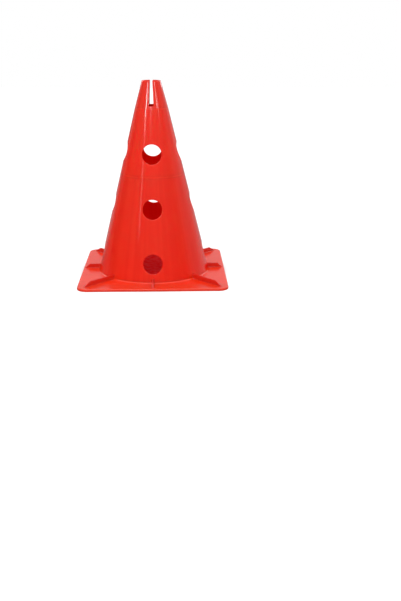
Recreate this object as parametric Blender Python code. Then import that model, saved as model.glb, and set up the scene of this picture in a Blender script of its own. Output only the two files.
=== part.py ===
"""Training cone with pole holes, a slotted tip and a ribbed square base.

Metres, +Z up. The origin is the middle of the base, on the ground. The front faces
-Y, and the slot in the tip runs through from front to back.

The real cone is one hollow moulding. Its regions are separate bodies here, parted by
hairline seams where the moulding changes form: the base plate, the wall below and
above its lower ring line, the slotted tip above its upper ring line, and the eight
ribs that stiffen the foot.
"""

import math
from dataclasses import dataclass

import bmesh
import bpy
from mathutils import Matrix, Vector

# The whole
HEIGHT = 0.380               # ground to the top of the prongs
BASE_SIDE = 0.292            # side of the square base
SEAM = 0.0003                # gap between regions that meet
OVERRUN = 0.010              # how far a cut runs past what it cuts

# Wall of the cone, with its radii measured on the outside
WALL = 0.0020                # thickness, square to the surface
BASE_MARGIN = 0.0329         # foot of the wall to the side of the base
UPPER_RING_RADIUS = 0.0326   # where the tip begins
MOUTH_RADIUS = 0.0181        # at the top of the prongs
TIP_LENGTH = 0.0518          # upper ring line to the top of the prongs
LOWER_RING_SHARE = 0.612     # place of the lower ring line, of the wall's height
FOOT_FILLET = 0.0025         # hollow corner between wall and plate
RIM_ROUND = 0.0006           # rounded edges of the mouth

# Pole holes, each bored level through both sides, in two directions at each level
HOLE_DIAMETER = 0.0375
HOLE_LEVEL_SHARES = (0.112, 0.428, 0.744)   # centres, of the wall's height

# Slot through the tip
COLLAR_HEIGHT = 0.0052       # whole band between the upper ring line and the slot
SLOT_FLOOR_WIDTH = 0.0088
SLOT_MOUTH_WIDTH = 0.0052    # narrower, because the prongs lean together

# Base plate, a shallow pan turned upside down
PLATE_HEIGHT = 0.0050        # ground to its top
PLATE_SHEET = 0.0022         # its thickness
LIP_WIDTH = 0.0026           # the lip turned down round its outside
CORNER_RADIUS = 0.0200       # in plan
EDGE_ROUND = 0.0018          # rounded edge along the top of the lip

# Ribs, upright webs that stand on the plate and lean on the wall
RIB_HEIGHT = 0.0092          # above the plate
RIB_FOOT_WIDTH = 0.0036
RIB_CREST_WIDTH = 0.0028
SIDE_RIB_SETBACK = 0.0030    # toe of a side rib to the side of the base
CORNER_RIB_SETBACK = 0.0102  # toe of a corner rib to the rounded corner of the base
SIDE_RIB_CREST_SHARE = 0.645  # length of the level crest, of the rib's reach
CORNER_RIB_CREST_SHARE = 0.78

# Facets
WALL_STEPS = 96
HOLE_SIDES = 40
CORNER_STEPS = 8
ROUND_STEPS = 4
SHARP_ANGLE = math.radians(35)

# Finish, with the colour as linear values
PLASTIC_RED = (0.775, 0.040, 0.025, 1.0)
PLASTIC_ROUGHNESS = 0.28
PLASTIC_METALLIC = 0.0

SIDE_RIB_TURNS = {"right": 0, "back": 90, "left": 180, "front": 270}
CORNER_RIB_TURNS = {"back_right": 45, "back_left": 135, "front_left": 225, "front_right": 315}


@dataclass(frozen=True)
class Taper:
    """Straight-sided stretch of the wall, given on its outside at two heights."""

    low_radius: float
    low_height: float
    high_radius: float
    high_height: float

    @property
    def lean(self):
        """Angle between the wall and the vertical."""
        return math.atan2(self.low_radius - self.high_radius, self.high_height - self.low_height)

    def radius(self, height, depth=0.0):
        """Radius at a height, at a depth into the wall measured square to it."""
        outside = self.low_radius - (height - self.low_height) * math.tan(self.lean)
        return outside - depth / math.cos(self.lean)

    def height(self, share):
        """Height at a share of the way up."""
        return self.low_height + share * (self.high_height - self.low_height)


# Sizes that follow from the ones above
HALF_SIDE = BASE_SIDE / 2
FOOT_RADIUS = HALF_SIDE - BASE_MARGIN
UPPER_RING_HEIGHT = HEIGHT - TIP_LENGTH
CONE = Taper(FOOT_RADIUS, PLATE_HEIGHT, UPPER_RING_RADIUS, UPPER_RING_HEIGHT)
TIP = Taper(UPPER_RING_RADIUS, UPPER_RING_HEIGHT, MOUTH_RADIUS, HEIGHT)
LOWER_RING_HEIGHT = CONE.height(LOWER_RING_SHARE)
SEAT_HEIGHT = PLATE_HEIGHT + SEAM
FILLET_HEIGHT = PLATE_HEIGHT + FOOT_FILLET
FILLET_CENTRE = (CONE.radius(FILLET_HEIGHT, -FOOT_FILLET), FILLET_HEIGHT)
CORNER_REACH = math.sqrt(2) * (HALF_SIDE - CORNER_RADIUS) + CORNER_RADIUS


def arc(centre, radius, start, end, steps=ROUND_STEPS):
    """Points of an arc in a (radius, height) plane, from one angle to another."""
    angles = [start + (end - start) * step / steps for step in range(steps + 1)]
    return [(centre[0] + radius * math.cos(a), centre[1] + radius * math.sin(a)) for a in angles]


def revolve(outline):
    """Closed outline of (radius, height) points, turned about the Z axis."""
    shape = bmesh.new()
    points = [shape.verts.new((radius, 0, height)) for radius, height in outline]
    sides = [shape.edges.new(pair) for pair in zip(points, points[1:] + points[:1])]
    bmesh.ops.spin(
        shape, geom=points + sides, cent=(0, 0, 0), axis=(0, 0, 1),
        angle=math.tau, steps=WALL_STEPS, use_merge=True,
    )
    return shape


def prism(outline, push):
    """Flat outline of points, given thickness along a vector."""
    shape = bmesh.new()
    face = shape.faces.new([shape.verts.new(point) for point in outline])
    pushed = bmesh.ops.extrude_face_region(shape, geom=[face], use_keep_orig=True)
    moved = [item for item in pushed["geom"] if isinstance(item, bmesh.types.BMVert)]
    bmesh.ops.translate(shape, vec=push, verts=moved)
    return shape


def cylinder(radius, length, sides):
    """Cylinder about the Z axis, centred on the origin."""
    shape = bmesh.new()
    bmesh.ops.create_cone(
        shape, cap_ends=True, segments=sides, radius1=radius, radius2=radius, depth=length,
    )
    return shape


def rounded_square(half, corner, height):
    """Outline of a square in plan with round corners, anticlockwise at one height."""
    centre = (half - corner, half - corner)
    quarter = [Vector((*point, height)) for point in arc(centre, corner, 0, math.pi / 2, CORNER_STEPS)]
    turns = [Matrix.Rotation(math.radians(turn), 4, "Z") for turn in (0, 90, 180, 270)]
    return [turn @ point for turn in turns for point in quarter]


def place(name, shape):
    """Object made from a shape, with its faces turned outwards."""
    bmesh.ops.recalc_face_normals(shape, faces=shape.faces)
    mesh = bpy.data.meshes.new(name)
    shape.to_mesh(mesh)
    shape.free()
    piece = bpy.data.objects.new(name, mesh)
    bpy.context.collection.objects.link(piece)
    return piece


def carve(piece, cutters):
    """Cut away what the cutters hold, keep the result as the mesh and drop the cutters."""
    for cutter in cutters:
        cut = piece.modifiers.new(cutter.name, "BOOLEAN")
        cut.operation = "DIFFERENCE"
        cut.solver = "EXACT"
        cut.object = cutter
    whole = piece.data
    depsgraph = bpy.context.evaluated_depsgraph_get()
    piece.data = bpy.data.meshes.new_from_object(piece.evaluated_get(depsgraph))
    piece.modifiers.clear()
    piece.data.name = piece.name
    bpy.data.meshes.remove(whole)
    for cutter in cutters:
        bpy.data.meshes.remove(cutter.data)


def plastic(name):
    """Glossy moulded plastic for one piece."""
    material = bpy.data.materials.new(name)
    material.use_nodes = True
    shader = material.node_tree.nodes["Principled BSDF"]
    shader.inputs["Base Color"].default_value = PLASTIC_RED
    shader.inputs["Roughness"].default_value = PLASTIC_ROUGHNESS
    shader.inputs["Metallic"].default_value = PLASTIC_METALLIC
    return material


def finish(piece, parent):
    """Give a piece its plastic, its shading and its parent."""
    piece.data.materials.clear()
    piece.data.materials.append(plastic(f"{piece.name}_plastic"))
    piece.data.shade_smooth()
    piece.data.set_sharp_from_angle(angle=SHARP_ANGLE)
    piece.parent = parent


def pole_bores():
    """Level cutters for the pole holes: two that cross at each level."""
    bores = []
    for level, share in enumerate(HOLE_LEVEL_SHARES, start=1):
        centre_height = CONE.height(share)
        length = 2 * (CONE.radius(centre_height - HOLE_DIAMETER / 2) + OVERRUN)
        for way, turn in {"side": (0, math.pi / 2, 0), "front": (math.pi / 2, 0, 0)}.items():
            bore = place(f"{way}_bore_{level}", cylinder(HOLE_DIAMETER / 2, length, HOLE_SIDES))
            bore.location.z = centre_height
            bore.rotation_euler = turn
            bores.append(bore)
    return bores


def lower_wall():
    """Wall from the plate to the lower ring line, with the fillet round its foot."""
    top = LOWER_RING_HEIGHT - SEAM / 2
    foot_start = math.pi + math.asin((FOOT_FILLET - SEAM) / FOOT_FILLET)
    foot = arc(FILLET_CENTRE, FOOT_FILLET, foot_start, math.pi + CONE.lean)
    inner = [(CONE.radius(top, WALL), top), (CONE.radius(SEAT_HEIGHT, WALL), SEAT_HEIGHT)]
    wall = place("lower_wall", revolve(foot + [(CONE.radius(top), top)] + inner))
    carve(wall, pole_bores())
    return wall


def upper_wall():
    """Wall between the two ring lines."""
    low = LOWER_RING_HEIGHT + SEAM / 2
    high = UPPER_RING_HEIGHT - SEAM / 2
    outer = [(CONE.radius(low), low), (CONE.radius(high), high)]
    inner = [(CONE.radius(high, WALL), high), (CONE.radius(low, WALL), low)]
    wall = place("upper_wall", revolve(outer + inner))
    carve(wall, pole_bores())
    return wall


def slotted_tip():
    """Steeper tip, cut by a slot from front to back that leaves a collar and two prongs."""
    low = UPPER_RING_HEIGHT + SEAM / 2
    shoulder = HEIGHT - RIM_ROUND
    outer_round = arc((TIP.radius(shoulder, RIM_ROUND), shoulder), RIM_ROUND, TIP.lean, math.pi / 2)
    inner_round = arc(
        (TIP.radius(shoulder, WALL - RIM_ROUND), shoulder), RIM_ROUND, math.pi / 2, math.pi + TIP.lean,
    )
    foot = [(TIP.radius(low, WALL), low), (TIP.radius(low), low)]
    tip = place("slotted_tip", revolve(outer_round + inner_round + foot))

    floor = UPPER_RING_HEIGHT + COLLAR_HEIGHT
    half_floor = SLOT_FLOOR_WIDTH / 2
    half_mouth = SLOT_MOUTH_WIDTH / 2
    side = [(half_floor, floor), (half_mouth, HEIGHT), (half_mouth, HEIGHT + OVERRUN)]
    outline = side + [(-across, height) for across, height in reversed(side)]
    reach = TIP.radius(floor) + OVERRUN
    slot = place("slot", prism([(x, -reach, z) for x, z in outline], (0, 2 * reach, 0)))
    carve(tip, [slot])
    return tip


def base_plate():
    """Square pan: a flat sheet with a lip turned down round it and the cone's bore through it."""
    plate_shape = prism(rounded_square(HALF_SIDE, CORNER_RADIUS, 0), (0, 0, PLATE_HEIGHT))
    top_edges = [edge for edge in plate_shape.edges if all(vert.co.z > 0 for vert in edge.verts)]
    bmesh.ops.bevel(
        plate_shape, geom=top_edges, offset=EDGE_ROUND, segments=ROUND_STEPS,
        profile=0.5, affect="EDGES", material=-1,
    )
    plate = place("base_plate", plate_shape)

    hollow_outline = rounded_square(HALF_SIDE - LIP_WIDTH, CORNER_RADIUS - LIP_WIDTH, -OVERRUN)
    hollow = place("hollow", prism(hollow_outline, (0, 0, OVERRUN + PLATE_HEIGHT - PLATE_SHEET)))
    bore_length = 2 * (PLATE_HEIGHT + OVERRUN)
    bore = place("bore", cylinder(CONE.radius(PLATE_HEIGHT, WALL), bore_length, WALL_STEPS))
    carve(plate, [hollow, bore])
    return plate


def rib(name, toe_radius, crest_share, turn):
    """Upright web between wall and plate: a level crest, then a slope down to its toe."""
    crest_height = PLATE_HEIGHT + RIB_HEIGHT
    crest_end = FOOT_RADIUS + crest_share * (toe_radius - FOOT_RADIUS)
    heel = arc(FILLET_CENTRE, FOOT_FILLET - SEAM, 1.5 * math.pi, math.pi + CONE.lean)
    crest = [(CONE.radius(crest_height, -SEAM), crest_height), (crest_end, crest_height)]
    outline = heel + crest + [(toe_radius, SEAT_HEIGHT)]

    shape = prism([(x, -1, z) for x, z in outline], (0, 2, 0))
    for vert in shape.verts:
        rise_share = (vert.co.z - SEAT_HEIGHT) / (crest_height - SEAT_HEIGHT)
        vert.co.y *= (RIB_FOOT_WIDTH + rise_share * (RIB_CREST_WIDTH - RIB_FOOT_WIDTH)) / 2
    piece = place(name, shape)
    piece.rotation_euler.z = math.radians(turn)
    return piece


def build():
    """The whole cone, its pieces under one empty at the middle of the base."""
    for thing in list(bpy.data.objects):
        bpy.data.objects.remove(thing)
    cone = bpy.data.objects.new("training_cone", None)
    bpy.context.collection.objects.link(cone)

    pieces = [base_plate(), lower_wall(), upper_wall(), slotted_tip()]
    for side, turn in SIDE_RIB_TURNS.items():
        pieces.append(rib(f"side_rib_{side}", HALF_SIDE - SIDE_RIB_SETBACK, SIDE_RIB_CREST_SHARE, turn))
    for corner, turn in CORNER_RIB_TURNS.items():
        toe_radius = CORNER_REACH - CORNER_RIB_SETBACK
        pieces.append(rib(f"corner_rib_{corner}", toe_radius, CORNER_RIB_CREST_SHARE, turn))
    for piece in pieces:
        finish(piece, cone)


build()
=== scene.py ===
import math
from dataclasses import dataclass

import bmesh
import bpy
from mathutils import Matrix, Vector
from mathutils.kdtree import KDTree


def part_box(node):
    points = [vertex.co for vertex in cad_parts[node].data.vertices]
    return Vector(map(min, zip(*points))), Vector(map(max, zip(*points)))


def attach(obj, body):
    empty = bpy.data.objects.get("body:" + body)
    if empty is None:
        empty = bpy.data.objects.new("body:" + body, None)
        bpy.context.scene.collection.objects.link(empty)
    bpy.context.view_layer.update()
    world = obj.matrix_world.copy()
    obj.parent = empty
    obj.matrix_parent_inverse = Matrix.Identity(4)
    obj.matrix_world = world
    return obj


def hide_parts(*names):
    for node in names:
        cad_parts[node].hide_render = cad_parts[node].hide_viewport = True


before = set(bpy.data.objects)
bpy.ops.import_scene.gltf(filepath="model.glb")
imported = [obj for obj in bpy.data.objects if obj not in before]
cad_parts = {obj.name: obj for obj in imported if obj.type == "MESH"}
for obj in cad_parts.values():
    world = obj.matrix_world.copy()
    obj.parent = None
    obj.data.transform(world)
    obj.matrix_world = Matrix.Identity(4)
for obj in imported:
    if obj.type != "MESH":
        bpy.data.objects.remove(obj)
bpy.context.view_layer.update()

# Places that the frame gives
LOWER_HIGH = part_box("lower_wall")[1]
UPPER_LOW, UPPER_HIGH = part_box("upper_wall")
TIP_LOW, TIP_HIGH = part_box("slotted_tip")
PLATE_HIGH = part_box("base_plate")[1]
SIDE_RIB_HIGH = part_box("side_rib_right")[1]
CORNER_RIB_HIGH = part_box("corner_rib_back_right")[1]
HEIGHT = TIP_HIGH.z
HALF_SIDE = PLATE_HIGH.x
PLATE_HEIGHT = PLATE_HIGH.z
LOWER_RING_HEIGHT = (LOWER_HIGH.z + UPPER_LOW.z) / 2
UPPER_RING_HEIGHT = (UPPER_HIGH.z + TIP_LOW.z) / 2
RIB_CREST_HEIGHT = SIDE_RIB_HIGH.z

# Wall of the moulding, in metres
WALL = 0.0020
MOUTH_RADIUS = 0.0181
FOOT_FILLET = 0.0025
FOOT_SINK = 0.0004           # how far the fillet's ring reaches down into the plate
HOLE_RADIUS = 0.01875
HOLE_LEVEL_SHARES = (0.112, 0.428, 0.744)   # of the way from the plate to the upper ring line
COLLAR_HEIGHT = 0.0052
SLOT_FLOOR_WIDTH = 0.0088
SLOT_MOUTH_WIDTH = 0.0052
RIM_ROUND = 0.00060          # rounded edge of the holes, the slot and the mouth
RING_BEAD = 0.00009          # how far the ring line stands out where the tip meets the wall
RING_REACH = 0.0008          # half the height of that bead
RING_HIGHLIGHT_REACH = 0.0016          # how far the painted highlight line of a ring reaches to each side of it

# Base plate
PLATE_SHEET = 0.0022
LIP_WIDTH = 0.0026
CORNER_RADIUS = 0.0200
EDGE_ROUND = 0.0018          # rounded edge round the plate's top
LIP_ROUND = 0.0004           # rounded edges of the lip that stands on the floor
PAN_FILLET = 0.0008          # hollow corner between the lip and the plate's underside

# Ribs
RIB_FOOT_WIDTH = 0.0036
RIB_CREST_WIDTH = 0.0028
RIB_ROOT = 0.0010            # fillet between a rib and what it stands on
RIB_ROUND = 0.0006           # rounded edges along the crest
RIB_SINK = 0.0010            # how far a rib's heel runs into the wall
RIB_LEANING = 0.25           # share of a rib's run over which it still leans with the wall
RIB_TOE_RISE = 0.00005       # height that is left at the end of a rib's toe
SIDE_RIB_CREST_SHARE = 0.645         # share of a side rib's run over which its crest is level
CORNER_RIB_CREST_SHARE = 0.78        # and of a corner rib's

# Facets
QUARTER_TURNS = (0, 90, 180, 270)
QUARTER_COLUMNS = 32
ROW_HEIGHT = 0.0060          # about the height of a row of faces away from the holes
HOLE_ROWS = 20
HOLE_RISE = 0.0260           # half the height of the patch round a hole
SPOKE_CUTS = 6
RIM_STEPS = 3
RING_ROWS = 8
COLLAR_ROWS = 3
PRONG_ROWS = 12
SLOT_COLUMNS = 4
ROUND_STEPS = 5
PLATE_CORNER_STEPS = 16
PLATE_SIDE_STEPS = 24
PAN_RINGS = (0.25, 0.50, 0.75)                          # shares of the way from bore to lip
PLATE_RINGS = (0.04, 0.20, 0.40, 0.60, 0.80, 1.00)      # and from the plate's edge to the bore
RIB_ROWS = 12
HEEL_STATIONS = 6
CREST_STATIONS = 8
TOE_STATIONS = 8
MERGE = 1e-6                 # points nearer than this are one
SHARP_ANGLE = math.radians(40)


@dataclass(frozen=True)
class Taper:
    """Straight-sided stretch of the wall, given on its outside at two heights."""

    low_radius: float
    low_height: float
    high_radius: float
    high_height: float

    @property
    def lean(self):
        """Angle between the wall and the vertical."""
        return math.atan2(self.low_radius - self.high_radius, self.high_height - self.low_height)

    def radius(self, height, depth=0.0):
        """Radius at a height, at a depth into the wall measured square to it."""
        surface = self.low_radius - (height - self.low_height) * math.tan(self.lean)
        return surface - depth / math.cos(self.lean)


CONE = Taper(UPPER_HIGH.x, UPPER_LOW.z, TIP_HIGH.x, TIP_LOW.z)
TIP = Taper(CONE.radius(UPPER_RING_HEIGHT), UPPER_RING_HEIGHT, MOUTH_RADIUS, HEIGHT)
FOOT_RADIUS = CONE.radius(PLATE_HEIGHT)
FILLET_HEIGHT = PLATE_HEIGHT + FOOT_FILLET
FILLET_RADIUS = CONE.radius(FILLET_HEIGHT, -FOOT_FILLET)
FILLET_TOP = FILLET_HEIGHT - FOOT_FILLET * math.sin(CONE.lean)
WALL_FOOT = FILLET_TOP + RING_REACH
SLOT_FLOOR_HEIGHT = UPPER_RING_HEIGHT + COLLAR_HEIGHT
HOLE_RUN = UPPER_RING_HEIGHT - PLATE_HEIGHT
HOLE_LEVELS = [PLATE_HEIGHT + share * HOLE_RUN for share in HOLE_LEVEL_SHARES]
RIB_RISE = RIB_CREST_HEIGHT - PLATE_HEIGHT


def outside(height):
    """Outer radius of the moulding at a height above its fillet."""
    bead = RING_BEAD * max(1 - ((height - UPPER_RING_HEIGHT) / RING_REACH) ** 2, 0)
    return min(CONE.radius(height), TIP.radius(height)) + bead


def inside(height):
    """Inner radius of the moulding at a height."""
    return min(CONE.radius(height, WALL), TIP.radius(height, WALL))


def spread(low, high, count):
    """Evenly spaced values from low up to, but not including, high."""
    return [low + (high - low) * step / count for step in range(count)]


def merged(shapes):
    """One shape from several, welded where they meet."""
    whole = bmesh.new()
    for shape in shapes:
        scrap = bpy.data.meshes.new("scrap")
        shape.to_mesh(scrap)
        shape.free()
        whole.from_mesh(scrap)
        bpy.data.meshes.remove(scrap)
    bmesh.ops.remove_doubles(whole, verts=whole.verts, dist=MERGE)
    return whole


def turned(shape, degrees):
    """Copy of a shape, turned about the cone's axis."""
    copy = shape.copy()
    bmesh.ops.rotate(copy, verts=copy.verts, matrix=Matrix.Rotation(math.radians(degrees), 3, "Z"))
    return copy


def carried_on(shape, edges, place):
    """Extrude open edges and put each new point where place says, given the point it came from."""
    old = {vert for edge in edges for vert in edge.verts}
    made = bmesh.ops.extrude_edge_only(shape, edges=edges)["geom"]
    fresh = {part for part in made if isinstance(part, bmesh.types.BMVert)}
    spokes = {}
    for vert in old:
        for edge in vert.link_edges:
            if edge.other_vert(vert) in fresh:
                spokes[edge] = (vert, edge.other_vert(vert))
    for source, target in spokes.values():
        target.co = place(source.co)
    return [part for part in made if isinstance(part, bmesh.types.BMEdge)], list(spokes)


def closed_wall(outer, inner):
    """Solid from two skins: the outer one's open edges are carried across to the inner one's."""
    inner_rim = [vert.co.copy() for vert in inner.verts if vert.is_boundary]
    tree = KDTree(len(inner_rim))
    for index, point in enumerate(inner_rim):
        tree.insert(point, index)
    tree.balance()
    open_edges = [edge for edge in outer.edges if edge.is_boundary]
    carried_on(outer, open_edges, lambda point: tree.find(point)[0])
    wall = merged([outer, inner])
    bmesh.ops.recalc_face_normals(wall, faces=wall.faces)
    return wall


def wrapped(sheet, radius_at):
    """Push a flat sheet, drawn as the front of the cone shows it, back onto the cone."""
    for vert in sheet.verts:
        depth_squared = radius_at(vert.co.z) ** 2 - vert.co.x**2
        vert.co.y = -math.sqrt(max(depth_squared, 0))
    return sheet


def flat_sheet(heights, across):
    """Grid in the XZ plane with a row at each height; across gives the x of a column share."""
    sheet = bmesh.new()
    rows = len(heights) - 1
    bmesh.ops.create_grid(sheet, x_segments=QUARTER_COLUMNS, y_segments=rows, size=1)
    for vert in sheet.verts:
        height = heights[round((vert.co.y + 1) / 2 * rows)]
        vert.co = (across(vert.co.x, height), 0, height)
    return sheet


def punch(sheet, radius_at, level):
    """Open a round pole hole in a flat sheet, with rings of faces spreading out from its rim."""
    columns = 2 * round(QUARTER_COLUMNS * math.asin(HOLE_RISE / CONE.radius(level)) / (math.pi / 2))
    reach = math.sin(math.pi / 4 * columns / QUARTER_COLUMNS)
    block = set()
    for face in sheet.faces:
        centre = face.calc_center_median()
        if abs(centre.z - level) < HOLE_RISE and abs(centre.x) < reach * radius_at(centre.z):
            block.add(face)
    border = {edge for face in block for edge in face.edges}
    border = [edge for edge in border if sum(face in block for face in edge.link_faces) == 1]
    bmesh.ops.delete(sheet, geom=list(block), context="FACES")
    heart = Vector((0, 0, level))
    spokes = carried_on(
        sheet, border, lambda point: heart + (point - heart).normalized() * HOLE_RADIUS,
    )[1]
    bmesh.ops.subdivide_edges(sheet, edges=spokes, cuts=SPOKE_CUTS)


def wall_quarter(radius_at, heights, levels):
    """Front quarter of one skin of the wall, with its pole holes."""

    def across(share, height):
        return radius_at(height) * math.sin(share * math.pi / 4)

    sheet = flat_sheet(heights, across)
    for level in levels:
        punch(sheet, radius_at, level)
    return wrapped(sheet, radius_at)


def slot_half_width(height):
    """Half the width of the slot, which narrows towards the mouth."""
    rise = max(height - SLOT_FLOOR_HEIGHT, 0) / (HEIGHT - SLOT_FLOOR_HEIGHT)
    return (SLOT_FLOOR_WIDTH + rise * (SLOT_MOUTH_WIDTH - SLOT_FLOOR_WIDTH)) / 2


def tip_quarter(radius_at, heights):
    """Front quarter of one skin of the tip, with the slot cut down through it."""
    slot_share = SLOT_COLUMNS / QUARTER_COLUMNS

    def across(share, height):
        half = slot_half_width(height)
        if abs(share) <= slot_share + MERGE:
            return half * share / slot_share
        start = math.asin(half / radius_at(height))
        angle = start + (math.pi / 4 - start) * (abs(share) - slot_share) / (1 - slot_share)
        return math.copysign(radius_at(height) * math.sin(angle), share)

    sheet = flat_sheet(heights, across)
    gone = []
    for face in sheet.faces:
        centre = face.calc_center_median()
        if centre.z > SLOT_FLOOR_HEIGHT and abs(centre.x) < slot_half_width(centre.z):
            gone.append(face)
    bmesh.ops.delete(sheet, geom=gone, context="FACES")
    return wrapped(sheet, radius_at)


def soften(shape, ends):
    """Round the sharp edges of a wall, but not at the heights where it meets its neighbours."""
    rounds = []
    for edge in shape.edges:
        centre = (edge.verts[0].co + edge.verts[1].co) / 2
        at_end = any(abs(centre.z - height) < MERGE for height in ends)
        if edge.calc_face_angle(0) > SHARP_ANGLE and not at_end:
            rounds.append(edge)
    bmesh.ops.bevel(
        shape, geom=rounds, offset=RIM_ROUND, segments=RIM_STEPS,
        profile=0.5, affect="EDGES", material=-1,
    )


def piece(name, shape, node, material):
    """Finished object for a shape, standing for a node of the frame."""
    bmesh.ops.recalc_face_normals(shape, faces=shape.faces)
    mesh = bpy.data.meshes.new(name)
    shape.to_mesh(mesh)
    shape.free()
    mesh.shade_smooth()
    mesh.set_sharp_from_angle(angle=SHARP_ANGLE)
    mesh.materials.append(material)
    made = bpy.data.objects.new(name, mesh)
    bpy.context.collection.objects.link(made)
    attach(made, "root")
    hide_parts(node)


def wall_band(low, high, levels):
    """Stretch of the wall between two heights, both its skins, closed at its rims."""
    heights = []
    start = low
    for level in levels:
        patch_low = level - HOLE_RISE
        patch_high = level + HOLE_RISE
        heights += spread(start, patch_low, max(round((patch_low - start) / ROW_HEIGHT), 1))
        heights += spread(patch_low, patch_high, HOLE_ROWS)
        start = patch_high
    near = high - 2 * RING_REACH
    heights += spread(start, near, max(round((near - start) / ROW_HEIGHT), 1))
    heights += spread(near, high, RING_ROWS) + [high]
    skins = []
    for radius_at in (outside, inside):
        quarter = wall_quarter(radius_at, heights, levels)
        skins.append(merged([turned(quarter, turn) for turn in QUARTER_TURNS]))
    band = closed_wall(*skins)
    soften(band, (low, high))
    return band


def foot_fillet():
    """Hollow corner between the wall and the plate, sunk a little into the plate."""
    low = PLATE_HEIGHT - FOOT_SINK
    outline = [(inside(PLATE_HEIGHT), low), (FILLET_RADIUS, low)]
    for step in range(ROUND_STEPS + 1):
        # from straight down round to square to the wall
        angle = 1.5 * math.pi + (CONE.lean - math.pi / 2) * step / ROUND_STEPS
        radius = FILLET_RADIUS + FOOT_FILLET * math.cos(angle)
        outline.append((radius, FILLET_HEIGHT + FOOT_FILLET * math.sin(angle)))
    outline += [(outside(WALL_FOOT), WALL_FOOT), (inside(WALL_FOOT), WALL_FOOT)]
    shape = bmesh.new()
    points = [shape.verts.new((radius, 0, height)) for radius, height in outline]
    sides = [shape.edges.new(pair) for pair in zip(points, points[1:] + points[:1])]
    bmesh.ops.spin(
        shape, geom=points + sides, cent=(0, 0, 0), axis=(0, 0, 1),
        angle=math.tau, steps=len(QUARTER_TURNS) * QUARTER_COLUMNS, use_merge=True,
    )
    return shape


def slotted_tip():
    """Tip above the upper ring line: a collar and two prongs."""
    near = UPPER_RING_HEIGHT + 2 * RING_REACH
    heights = spread(UPPER_RING_HEIGHT, near, RING_ROWS)
    heights += spread(near, SLOT_FLOOR_HEIGHT, COLLAR_ROWS)
    heights += spread(SLOT_FLOOR_HEIGHT, HEIGHT, PRONG_ROWS) + [HEIGHT]
    skins = []
    for radius_at in (outside, inside):
        slotted = tip_quarter(radius_at, heights)
        plain = wall_quarter(radius_at, heights, ())
        quarters = zip((slotted, plain, slotted, plain), QUARTER_TURNS)
        skins.append(merged([turned(quarter, turn) for quarter, turn in quarters]))
    tip = closed_wall(*skins)
    soften(tip, (UPPER_RING_HEIGHT,))
    return tip


def loft(outlines, cyclic):
    """Skin through closed outlines of equal count; capped at its ends unless it is cyclic."""
    if cyclic:
        outlines = outlines + outlines[:1]
    shape = bmesh.new()
    points = [shape.verts.new(point) for point in outlines[0]]
    ring = [shape.edges.new(pair) for pair in zip(points, points[1:] + points[:1])]
    first = ring
    for near, far in zip(outlines, outlines[1:]):
        step = {tuple(point): other for point, other in zip(near, far)}
        ring = carried_on(shape, ring, lambda point: step[tuple(point)])[0]
    if cyclic:
        bmesh.ops.remove_doubles(shape, verts=shape.verts, dist=MERGE)
    else:
        bmesh.ops.holes_fill(shape, edges=first + ring, sides=0)
    return shape


def square_outline(inset, height):
    """Rounded square in plan, inset from the side of the base."""
    radius = CORNER_RADIUS - inset
    flat = HALF_SIDE - inset - radius
    quarter = []
    for across in spread(-flat, flat, PLATE_SIDE_STEPS):
        quarter.append(Vector((HALF_SIDE - inset, across, height)))
    for angle in spread(0, math.pi / 2, PLATE_CORNER_STEPS):
        across = flat + radius * math.sin(angle)
        quarter.append(Vector((flat + radius * math.cos(angle), across, height)))
    turns = [Matrix.Rotation(math.radians(turn), 4, "Z") for turn in QUARTER_TURNS]
    return [turn @ point for turn in turns for point in quarter]


def bore_outline(radius, height):
    """Circle in plan whose points lie in line with the rounded square's."""
    flat = [Vector((point.x, point.y, 0)).normalized() * radius for point in square_outline(0, 0)]
    return [Vector((point.x, point.y, height)) for point in flat]


def between(inner, outer, share):
    """Outline part of the way from one to another."""
    return [a.lerp(b, share) for a, b in zip(inner, outer)]


def quarter_round(radius):
    """Steps round a quarter circle: the way still to go in one direction, and gone in the other."""
    angles = [math.pi / 2 * step / ROUND_STEPS for step in range(ROUND_STEPS + 1)]
    return [(radius * (1 - math.sin(angle)), radius * (1 - math.cos(angle))) for angle in angles]


def base_plate():
    """Plate, lip and bore, lofted round the section from the bore's edge and back to it."""
    roof = PLATE_HEIGHT - PLATE_SHEET
    bore_low = bore_outline(inside(PLATE_HEIGHT), roof)
    bore_high = bore_outline(inside(PLATE_HEIGHT), PLATE_HEIGHT)
    outlines = [bore_low]
    pan = square_outline(LIP_WIDTH + PAN_FILLET, roof)
    outlines += [between(bore_low, pan, share) for share in PAN_RINGS]
    for to_go, gone in quarter_round(PAN_FILLET):
        outlines.append(square_outline(LIP_WIDTH + to_go, roof - gone))
    for to_go, gone in quarter_round(LIP_ROUND):
        outlines.append(square_outline(LIP_WIDTH - gone, to_go))
    for to_go, gone in quarter_round(LIP_ROUND):
        outlines.append(square_outline(to_go, gone))
    for to_go, gone in quarter_round(EDGE_ROUND):
        outlines.append(square_outline(gone, PLATE_HEIGHT - to_go))
    edge = outlines[-1]
    outlines += [between(edge, bore_high, share) for share in PLATE_RINGS]
    return loft(outlines, cyclic=True)


def hollow(distance, radius):
    """How far a fillet stands out from a face, at a distance from the face it runs into."""
    if distance >= radius:
        return 0.0
    away = radius - max(distance, 0)
    return radius - math.sqrt(max(radius**2 - away**2, 0))


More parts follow.
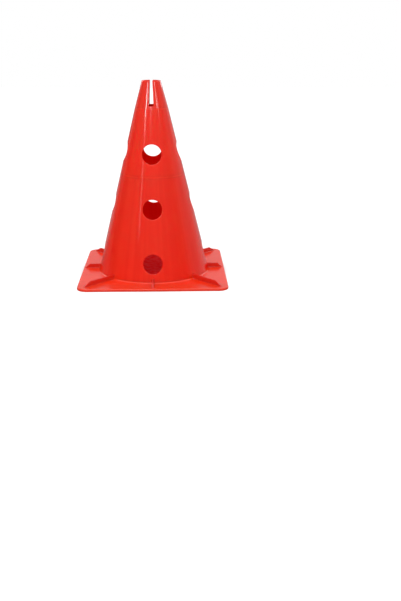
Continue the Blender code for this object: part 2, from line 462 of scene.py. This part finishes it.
def rib_section(foot_radius, toe_radius, crest_share):
    """Closed outline of a rib at a station along its foot, up one side and down the other."""
    run_share = (foot_radius - FOOT_RADIUS) / (toe_radius - FOOT_RADIUS)
    slope = min((1 - run_share) / (1 - crest_share), 1)
    rise = max(RIB_RISE * slope, RIB_TOE_RISE)
    leaning = min(max(1 - run_share / RIB_LEANING, 0), 1)
    section = []
    for share in spread(0, 1, RIB_ROWS) + [1]:
        height = PLATE_HEIGHT + rise * share
        radius = foot_radius - leaning * (FOOT_RADIUS - CONE.radius(height))
        up_share = (height - PLATE_HEIGHT) / RIB_RISE
        half = (RIB_FOOT_WIDTH + up_share * (RIB_CREST_WIDTH - RIB_FOOT_WIDTH)) / 2
        half += hollow(height - PLATE_HEIGHT, min(RIB_ROOT, rise))
        half += hollow(radius - CONE.radius(height), RIB_ROOT)
        half -= hollow(PLATE_HEIGHT + rise - height, min(RIB_ROUND, rise))
        section.append((radius, half, height))
    up = [Vector((radius, half, height)) for radius, half, height in section]
    down = [Vector((radius, -half, height)) for radius, half, height in reversed(section)]
    return up + down


def rib(toe_radius, crest_share, turn):
    """Rib with root fillets and a rounded crest, its heel just inside the wall."""
    root_end = FOOT_RADIUS + RIB_ROOT
    crest_end = FOOT_RADIUS + crest_share * (toe_radius - FOOT_RADIUS)
    stations = spread(FOOT_RADIUS - RIB_SINK, root_end, HEEL_STATIONS)
    stations += spread(root_end, crest_end, CREST_STATIONS)
    stations += spread(crest_end, toe_radius, TOE_STATIONS) + [toe_radius]
    outlines = [rib_section(radius, toe_radius, crest_share) for radius in stations]
    return turned(loft(outlines, cyclic=False), turn)


# Materials


class Wire:
    """Socket of a node tree that takes part in Python expressions."""

    def __init__(self, paint, socket):
        self.paint = paint
        self.socket = socket

    def math(self, operation, first, second):
        """Math node on two values or sockets."""
        return self.paint.node("ShaderNodeMath", {"operation": operation}, {0: first, 1: second})

    def __add__(self, other):
        return self.math("ADD", self, other)

    __radd__ = __add__

    def __sub__(self, other):
        return self.math("SUBTRACT", self, other)

    def __rsub__(self, other):
        return self.math("SUBTRACT", other, self)

    def __mul__(self, other):
        return self.math("MULTIPLY", self, other)

    __rmul__ = __mul__


class Paint:
    """Node tree of a material or of the world."""

    def __init__(self, owner):
        owner.use_nodes = True
        self.tree = owner.node_tree
        self.tree.nodes.clear()

    def node(self, kind, settings=None, inputs=None, output=0):
        """Add a node: its settings first, then the values or links of its inputs.

        The setting named stops gives the (place, level) pairs of a ramp.
        """
        made = self.tree.nodes.new(kind)
        for name, value in (settings or {}).items():
            if name == "stops":
                ramp = made.color_ramp.elements
                while len(ramp) < len(value):
                    ramp.new(1)
                for element, (place, level) in zip(ramp, value):
                    element.position = place
                    element.color = (level, level, level, 1)
            else:
                setattr(made, name, value)
        for name, value in (inputs or {}).items():
            if isinstance(value, Wire):
                self.tree.links.new(value.socket, made.inputs[name])
            else:
                made.inputs[name].default_value = value
        return Wire(self, made.outputs[output]) if made.outputs else None

    def noise(self, place, scale, detail=3.0, roughness=0.5):
        """Noise value between 0 and 1, by place."""
        inputs = {"Vector": place, "Scale": scale, "Detail": detail, "Roughness": roughness}
        return self.node("ShaderNodeTexNoise", {}, inputs, output="Fac")

    def ramp(self, value, stops):
        """Value sent through a ramp of (place, level) stops."""
        return self.node("ShaderNodeValToRGB", {"stops": stops}, {"Fac": value})

    def ease(self, value, start, end, low, high):
        """Value taken smoothly from low, at start, to high, at end."""
        settings = {"interpolation_type": "SMOOTHSTEP"}
        inputs = {"Value": value, "From Min": start, "From Max": end, "To Min": low, "To Max": high}
        return self.node("ShaderNodeMapRange", settings, inputs)

    def along(self, place, axis):
        """How far a place lies along an axis, X, Y or Z."""
        return self.node("ShaderNodeSeparateXYZ", {}, {"Vector": place}, output=axis)

    def heading(self, place):
        """Way from the origin to a place, whatever its distance."""
        return self.node("ShaderNodeVectorMath", {"operation": "NORMALIZE"}, {0: place})

    def ray(self, kind):
        """1 where a ray of this kind arrives."""
        return self.node("ShaderNodeLightPath", output=f"Is {kind} Ray")

    def sees_background(self):
        """1 for a ray that sees the background direct or through something clear."""
        inputs = {0: self.ray("Camera"), 1: self.ray("Transmission")}
        return self.node("ShaderNodeMath", {"operation": "MAXIMUM"}, inputs)

    def blend(self, factor, first, second):
        """Colour part of the way from one to another."""
        inputs = {0: factor, 6: first, 7: second}
        return self.node("ShaderNodeMix", {"data_type": "RGBA"}, inputs, output=2)


# Tones of the plastic
WALL_RED = (0.760, 0.022, 0.006, 1.0)
WALL_DEEP = (0.685, 0.013, 0.002, 1.0)
# The upper wall is painted a little lighter than the lower, as painted light for the brighter upper
# cone
UPPER_LIT_RED = (0.785, 0.020, 0.004, 1.0)
UPPER_LIT_DEEP = (0.745, 0.015, 0.003, 1.0)
# The tip is painted a darker red than the wall, as painted shade
TIP_SHADED_RED = (0.685, 0.017, 0.003, 1.0)
TIP_SHADED_DEEP = (0.645, 0.013, 0.002, 1.0)
# Lighter red painted along the ring lines, as a painted highlight
RING_HIGHLIGHT_RED = (0.845, 0.026, 0.007, 1.0)
BASE_RED = (0.772, 0.030, 0.006, 1.0)
BASE_DEEP = (0.722, 0.023, 0.004, 1.0)
# Deeper red painted on the plate before the cone's foot, as painted shade
BASE_FRONT_SHADE = (0.665, 0.027, 0.005, 1.0)
# Ribs are painted a darker red than the plate, as painted shade on their sides
RIB_SHADED_RED = (0.600, 0.016, 0.005, 1.0)
RIB_SHADED_DEEP = (0.540, 0.012, 0.004, 1.0)
SCUFFED = (0.820, 0.045, 0.025, 1.0)

# Finish of the plastic
NOISE_EASE = (0.35, 0.65, 0.0, 1.0)     # draws the middle of a noise out to the whole range
FLOW_STRETCH = (1.0, 1.0, 0.0)          # flow marks don't change with height
FLOW_SCALE = 7.0
FLOW_SHARE = 0.6                        # their part in the tone; the clouds have the rest
FLOW_SWELL = 0.12                       # their part in the swell, where the clouds have 1
CLOUD_SCALE = 14.0
GRAIN_SCALE = 900.0
GRAIN_DETAIL = 2.0
SCRATCH_STRETCH = (1.0, 1.0, 6.0)
SCRATCH_NOISE = (160.0, 6.0, 0.7)       # scale, detail and roughness
SCRATCH_STOPS = ((0.60, 0.0), (0.72, 1.0))
SCRATCH_TONE = 0.5                      # how far a full scratch goes to the scuffed tone
FRONT_SHADE_START = -FOOT_RADIUS - 0.010      # where the painted front shade is full
FRONT_SHADE_END = -FOOT_RADIUS + 0.005        # where it has gone
SMOOTH = 0.06                           # roughness of clean plastic
CLOUD_ROUGH = 0.05                      # what the clouds and a full scratch add to it
SCRATCH_ROUGH = 0.18
SWELL_STRENGTH = 0.10
SWELL_DISTANCE = 0.002
GRAIN_STRENGTH = 0.04
GRAIN_DISTANCE = 0.0002
REFRACTION = 1.5
LIGHT_REACH = (1.0, 0.05, 0.03)         # how deep red, green and blue light go, times the scale
LIGHT_REACH_SCALE = 0.008

# Floor
WHITE = (1.0, 1.0, 1.0, 1.0)
FLOOR = (0.50, 0.50, 0.50, 1.0)
FLOOR_REFLECTED = (0.33, 0.33, 0.33, 1.0)
FLOOR_REFLECTED_LEFT = (0.12, 0.12, 0.12, 1.0)
FLOOR_INSIDE = (0.98, 0.07, 0.07, 1.0)
FLOOR_INSIDE_DEEP = (0.90, 0.02, 0.02, 1.0)
INSIDE_GLOW = (1.0, 0.01, 0.02, 1.0)
INSIDE_GLOW_STRENGTH = 0.13
FLOOR_REACH = 6                         # half its side, in metres
FLOOR_LIFT = 0.55                       # what brings the floor up to white away from the cone
FLOOR_LIFT_EASE = (HALF_SIDE - 0.02, HALF_SIDE + 0.02, 0.0, 1.0)
FLOOR_INSIDE_EASE = (FOOT_RADIUS, FOOT_RADIUS + 0.002, 1.0, 0.0)
FLOOR_LEFT_EASE = (-0.85, -0.60, 0.0, 1.0)
MOTTLE_SCALE = 90.0
MOTTLE_DETAIL = 4.0

# Studio: how its brightness changes as a direction points more upward, backward or to the right,
# each as start, end, brightness at the start and brightness at the end
CEILING_UP = (-0.05, 1.0, 0.08, 1.25)
BACKDROP_FOOT = (-0.03, 0.08, 0.0, 0.45)
BACKDROP_TOP = (0.10, 0.40, 1.0, 0.2)
BACKDROP_BACK = (0.3, 0.9, 0.0, 1.0)
SIDE_WALL_BACK = (-0.35, 0.10, 0.0, 0.28)
SIDE_WALL_RIGHT = (0.0, 0.4, 0.0, 1.0)
SKY_BACK = (-0.6, 0.4, 0.94, 0.40)
SKY_UP = (0.3, 0.9, 0.0, 0.85)

# Lamps: name, place, width and height, and power in watts
LAMPS = (
    ("key_above", (-0.6, -1.7, 2.3), (1.2, 1.2), 7.5),
    ("left_window", (-1.18, -1.455, 1.18), (0.12, 0.38), 3.8),
    ("left_strip", (-1.16, -1.60, 0.75), (0.07, 0.50), 0.30),
    ("front_window", (-0.15, -1.92, 1.275), (0.08, 0.26), 3.8),
    ("right_window", (1.194, -1.374, 1.32), (0.12, 0.28), 2.0),
    ("right_low_window", (1.374, -1.194, 1.076), (0.12, 0.15), 0.5),
    ("back_right_window", (1.27, 1.27, 0.84), (0.12, 0.40), 1.6),
    ("back_left_window", (-1.27, 1.27, 0.84), (0.12, 0.40), 1.2),
)


def moulded_plastic(name, red, deep, scuffed, glow, dull=0.0, front=None):
    """Glossy orange-red polyethylene, coloured all through.

    scuffed runs from 0, new, to 1, worn; glow is how much light passes into and through it;
    dull is added to its roughness; front is a deeper tone painted before the cone's foot, as
    painted shade.
    """
    material = bpy.data.materials.new(name)
    paint = Paint(material)
    place = paint.node("ShaderNodeTexCoord", output="Object")
    flow_place = paint.node("ShaderNodeMapping", {}, {"Vector": place, "Scale": FLOW_STRETCH})
    flow = paint.ease(paint.noise(paint.heading(flow_place), FLOW_SCALE), *NOISE_EASE)
    cloud = paint.noise(place, CLOUD_SCALE)
    grain = paint.noise(place, GRAIN_SCALE, GRAIN_DETAIL)
    scratch_place = paint.node("ShaderNodeMapping", {}, {"Vector": place, "Scale": SCRATCH_STRETCH})
    wear = paint.ramp(paint.noise(scratch_place, *SCRATCH_NOISE), SCRATCH_STOPS) * scuffed
    height = paint.along(place, "Z")
    tone = paint.blend(flow * FLOW_SHARE + cloud * (1 - FLOW_SHARE), red, deep)
    # Painted shade: the plate's front takes a deeper tone before the cone's foot
    if front:
        front_shade_mask = paint.ease(paint.along(place, "Y"), FRONT_SHADE_START, FRONT_SHADE_END, 1.0, 0.0)
        tone = paint.blend(front_shade_mask, tone, front)
    # Painted highlight: a lighter line along each ring line
    for ring in (LOWER_RING_HEIGHT, UPPER_RING_HEIGHT):
        gap = height - ring
        tone = paint.blend(paint.ease(gap * gap, 0.0, RING_HIGHLIGHT_REACH**2, 1.0, 0.0), tone, RING_HIGHLIGHT_RED)
    colour = paint.blend(wear * SCRATCH_TONE, tone, SCUFFED)
    rough = (SMOOTH + dull) + cloud * CLOUD_ROUGH + wear * SCRATCH_ROUGH
    swell = paint.node("ShaderNodeBump", {}, {
        "Strength": SWELL_STRENGTH, "Distance": SWELL_DISTANCE, "Height": cloud + flow * FLOW_SWELL,
    })
    skin = paint.node("ShaderNodeBump", {}, {
        "Strength": GRAIN_STRENGTH, "Distance": GRAIN_DISTANCE, "Height": grain, "Normal": swell,
    })
    shader = paint.node("ShaderNodeBsdfPrincipled", {}, {
        "Base Color": colour, "Roughness": rough, "Normal": skin, "IOR": REFRACTION,
        "Subsurface Weight": glow, "Subsurface Radius": LIGHT_REACH,
        "Subsurface Scale": LIGHT_REACH_SCALE,
    })
    paint.node("ShaderNodeOutputMaterial", {}, {"Surface": shader})
    return material


def build_cone():
    """Every piece of the moulding."""
    wall_plastic = moulded_plastic("wall_plastic", WALL_RED, WALL_DEEP, scuffed=0.15, glow=0.9)
    # Painted light: the upper wall takes a lighter copy of the wall's red
    lit_upper_plastic = moulded_plastic("lit_upper_plastic", UPPER_LIT_RED, UPPER_LIT_DEEP, scuffed=0.15, glow=0.95)
    base_plastic = moulded_plastic(
        "base_plastic", BASE_RED, BASE_DEEP, scuffed=0.35, glow=0.2, dull=0.12, front=BASE_FRONT_SHADE,
    )
    fillet_plastic = moulded_plastic("fillet_plastic", BASE_RED, BASE_DEEP, scuffed=0.15, glow=0.2)
    # Painted shade: the tip takes a darker copy of the wall's red
    shaded_tip_plastic = moulded_plastic("shaded_tip_plastic", TIP_SHADED_RED, TIP_SHADED_DEEP, scuffed=0.15, glow=0.4)
    # Painted shade: the ribs take a darker copy of the moulding's red
    shaded_rib_plastic = moulded_plastic(
        "shaded_rib_plastic", RIB_SHADED_RED, RIB_SHADED_DEEP, scuffed=0.35, glow=0.2, dull=0.12,
    )
    lower = wall_band(WALL_FOOT, LOWER_RING_HEIGHT, HOLE_LEVELS[:2])
    upper = wall_band(LOWER_RING_HEIGHT, UPPER_RING_HEIGHT, HOLE_LEVELS[2:])
    piece("foot_fillet_skin", foot_fillet(), "lower_wall", fillet_plastic)
    piece("lower_wall_skin", lower, "lower_wall", wall_plastic)
    piece("upper_wall_skin", upper, "upper_wall", lit_upper_plastic)
    piece("slotted_tip_skin", slotted_tip(), "slotted_tip", shaded_tip_plastic)
    piece("base_plate_skin", base_plate(), "base_plate", base_plastic)

    diagonal = math.sqrt(0.5)
    side_toe = SIDE_RIB_HIGH.x
    corner_toe = (CORNER_RIB_HIGH.x - RIB_FOOT_WIDTH / 2 * diagonal) / diagonal
    sides = {"right": 0, "back": 90, "left": 180, "front": 270}
    for side, turn in sides.items():
        shape = rib(side_toe, SIDE_RIB_CREST_SHARE, turn)
        piece(f"side_rib_{side}_skin", shape, f"side_rib_{side}", shaded_rib_plastic)
    corners = {"back_right": 45, "back_left": 135, "front_left": 225, "front_right": 315}
    for corner, turn in corners.items():
        shape = rib(corner_toe, CORNER_RIB_CREST_SHARE, turn)
        piece(f"corner_rib_{corner}_skin", shape, f"corner_rib_{corner}", shaded_rib_plastic)


# Camera, as the photograph's outlines and holes place it

CAMERA_PLACE = Vector((0.03495, -1.50198, 0.45697))
CAMERA_YAW = math.radians(2.373)
CAMERA_PITCH = math.radians(19.314)
CAMERA_ROLL = math.radians(-0.289)
CAMERA_LENS = 44.86          # millimetres


def set_camera():
    """Camera at the photograph's place, angle and lens."""
    data = bpy.data.cameras.new("camera")
    data.lens = CAMERA_LENS
    camera = bpy.data.objects.new("camera", data)
    bpy.context.collection.objects.link(camera)
    yaw = Matrix.Rotation(-CAMERA_YAW, 4, "Z")
    pitch = Matrix.Rotation(math.pi / 2 - CAMERA_PITCH, 4, "X")
    roll = Matrix.Rotation(-CAMERA_ROLL, 4, "Z")
    camera.matrix_world = Matrix.Translation(CAMERA_PLACE) @ yaw @ pitch @ roll
    bpy.context.scene.camera = camera


def lamp(name, place, size, power):
    """Soft rectangular lamp that faces the middle of the cone."""
    data = bpy.data.lights.new(name, "AREA")
    data.shape = "RECTANGLE"
    data.size, data.size_y = size
    data.energy = power
    light = bpy.data.objects.new(name, data)
    bpy.context.collection.objects.link(light)
    aim = Vector((0, 0, HEIGHT / 2)) - Vector(place)
    facing = aim.to_track_quat("-Z", "Y").to_matrix().to_4x4()
    light.matrix_world = Matrix.Translation(place) @ facing


def floor():
    """Pale floor that keeps the cone's shadow, shows white away from it and is clear from below.

    Inside the cone's foot it has the red of the light that comes through the moulding.
    """
    shape = bmesh.new()
    bmesh.ops.create_grid(shape, x_segments=1, y_segments=1, size=FLOOR_REACH)
    mesh = bpy.data.meshes.new("floor")
    shape.to_mesh(mesh)
    shape.free()
    material = bpy.data.materials.new("floor")
    paint = Paint(material)
    place = paint.node("ShaderNodeTexCoord", output="Object")
    reach = paint.node("ShaderNodeVectorMath", {"operation": "LENGTH"}, {0: place}, output="Value")
    away = paint.ease(reach, *FLOOR_LIFT_EASE)
    under_cone = paint.ease(reach, *FLOOR_INSIDE_EASE)
    mottle = paint.ease(paint.noise(place, MOTTLE_SCALE, MOTTLE_DETAIL), *NOISE_EASE)
    shade = paint.blend(mottle, FLOOR_INSIDE_DEEP, FLOOR_INSIDE)
    aside = paint.ease(paint.along(paint.heading(place), "X"), *FLOOR_LEFT_EASE)
    reflected = paint.blend(aside, FLOOR_REFLECTED_LEFT, FLOOR_REFLECTED)
    colour = paint.blend(paint.ray("Glossy"), FLOOR, reflected)
    colour = paint.blend(under_cone, colour, shade)
    pale = paint.node("ShaderNodeBsdfDiffuse", {}, {"Color": colour})
    lift = away * FLOOR_LIFT * paint.sees_background()
    lift = paint.node("ShaderNodeEmission", {}, {"Color": WHITE, "Strength": lift})
    both = paint.node("ShaderNodeAddShader", {}, {0: pale, 1: lift})
    glow = under_cone * INSIDE_GLOW_STRENGTH
    glow = paint.node("ShaderNodeEmission", {}, {"Color": INSIDE_GLOW, "Strength": glow})
    both = paint.node("ShaderNodeAddShader", {}, {0: both, 1: glow})
    clear = paint.node("ShaderNodeBsdfTransparent")
    below = paint.node("ShaderNodeNewGeometry", output="Backfacing")
    surface = paint.node("ShaderNodeMixShader", {}, {0: below, 1: both, 2: clear})
    paint.node("ShaderNodeOutputMaterial", {}, {"Surface": surface})
    mesh.materials.append(material)
    ground = bpy.data.objects.new("floor", mesh)
    bpy.context.collection.objects.link(ground)


def studio():
    """Soft light from a sky and lamps, a white background, and a dimmer room in reflections."""
    world = bpy.data.worlds.new("studio")
    bpy.context.scene.world = world
    paint = Paint(world)
    direction = paint.node("ShaderNodeTexCoord", output="Generated")
    right = paint.along(direction, "X")
    back = paint.along(direction, "Y")
    up = paint.along(direction, "Z")
    ceiling = paint.ease(up, *CEILING_UP)
    backdrop = paint.ease(up, *BACKDROP_FOOT) * paint.ease(up, *BACKDROP_TOP)
    backdrop = backdrop * paint.ease(back, *BACKDROP_BACK)
    side_wall = paint.ease(back, *SIDE_WALL_BACK) * paint.ease(right, *SIDE_WALL_RIGHT)
    room = ceiling + backdrop + side_wall
    sky = paint.ease(back, *SKY_BACK) + paint.ease(up, *SKY_UP)
    seen = paint.sees_background()
    glossy = paint.ray("Glossy")
    plain = (1.0 - seen) * (1.0 - glossy)
    strength = seen + glossy * room + plain * sky
    light = paint.node("ShaderNodeBackground", {}, {"Color": WHITE, "Strength": strength})
    paint.node("ShaderNodeOutputWorld", {}, {"Surface": light})
    for name, place, size, power in LAMPS:
        lamp(name, place, size, power)


set_camera()
floor()
studio()
build_cone()
bpy.context.scene.view_settings.view_transform = "Standard"
